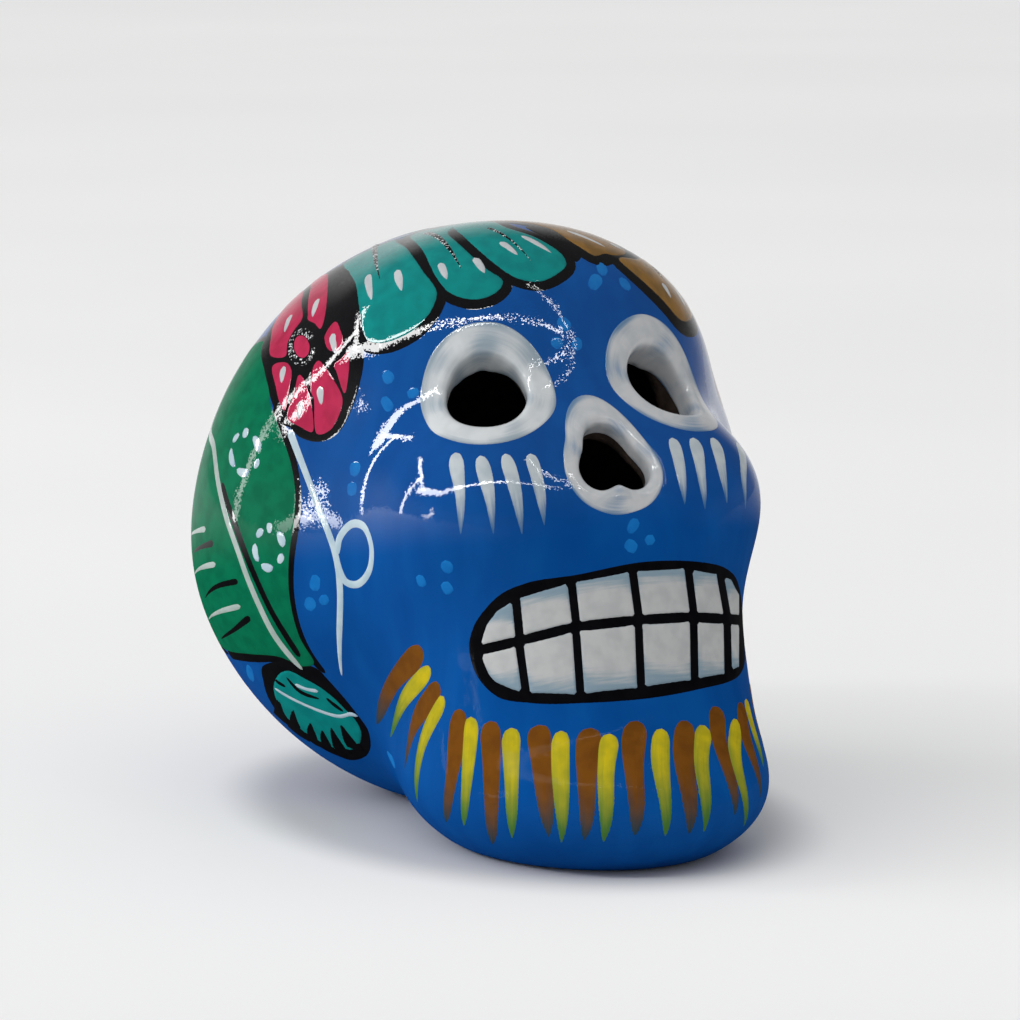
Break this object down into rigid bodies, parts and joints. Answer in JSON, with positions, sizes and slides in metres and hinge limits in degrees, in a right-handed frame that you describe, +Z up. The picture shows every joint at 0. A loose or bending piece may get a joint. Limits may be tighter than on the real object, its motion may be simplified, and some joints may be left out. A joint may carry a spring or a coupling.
{
  "type": "painted clay skull",
  "caption": "Hollow painted clay skull ornament with open eye and nose holes, a flat base, painted teeth, a chin fringe and a crown of petals.",
  "frame": {"origin": "under the middle of the whole skull, on the level it rests on", "axes": "+Z up, the face looks along -Y, the skull's own right side is at -X"},
  "size_m": [0.0918, 0.1188, 0.0937],
  "materials": {
    "blue_coat": "blue base coat under clear gloss varnish",
    "slip": "fired red clay slip, sanded flush outside",
    "white_enamel": "thick white paint under gloss varnish",
    "ochre_paint": "ochre brown brush strokes under gloss varnish",
    "yellow_paint": "yellow brush strokes under gloss varnish",
    "teal_paint": "teal paint under gloss varnish",
    "gold_paint": "dull gold ochre paint under gloss varnish",
    "pink_paint": "pink paint under gloss varnish",
    "green_paint": "green paint under gloss varnish"
  },
  "bodies": {
    "root": {"back_shell": "blue_coat", "crown_petal_back_left": "gold_paint", "crown_petal_back_right": "teal_paint", "crown_petal_front": "teal_paint", "crown_petal_front_left": "gold_paint", "crown_petal_front_right": "teal_paint", "crown_petal_left": "gold_paint", "crown_petal_right": "teal_paint", "face_shell": "blue_coat", "flower_left": "pink_paint", "flower_right": "pink_paint", "fringe_left_1": "yellow_paint", "fringe_left_10": "ochre_paint", "fringe_left_11": "yellow_paint", "fringe_left_12": "ochre_paint", "fringe_left_13": "yellow_paint", "fringe_left_2": "ochre_paint", "fringe_left_3": "yellow_paint", "fringe_left_4": "ochre_paint", "fringe_left_5": "yellow_paint", "fringe_left_6": "ochre_paint", "fringe_left_7": "yellow_paint", "fringe_left_8": "ochre_paint", "fringe_left_9": "yellow_paint", "fringe_right_1": "ochre_paint", "fringe_right_10": "yellow_paint", "fringe_right_11": "ochre_paint", "fringe_right_12": "yellow_paint", "fringe_right_13": "ochre_paint", "fringe_right_2": "yellow_paint", "fringe_right_3": "ochre_paint", "fringe_right_4": "yellow_paint", "fringe_right_5": "ochre_paint", "fringe_right_6": "yellow_paint", "fringe_right_7": "ochre_paint", "fringe_right_8": "yellow_paint", "fringe_right_9": "ochre_paint", "leaf_left": "green_paint", "leaf_right": "green_paint", "left_eye_lining": "white_enamel", "nose_lining": "white_enamel", "right_eye_lining": "white_enamel", "seam_slip": "slip", "sprig_left": "teal_paint", "sprig_right": "teal_paint", "tooth_lower_left_1": "white_enamel", "tooth_lower_left_2": "white_enamel", "tooth_lower_left_3": "white_enamel", "tooth_lower_right_1": "white_enamel", "tooth_lower_right_2": "white_enamel", "tooth_lower_right_3": "white_enamel", "tooth_upper_left_1": "white_enamel", "tooth_upper_left_2": "white_enamel", "tooth_upper_left_3": "white_enamel", "tooth_upper_right_1": "white_enamel", "tooth_upper_right_2": "white_enamel", "tooth_upper_right_3": "white_enamel"}
  },
  "joints": []
}
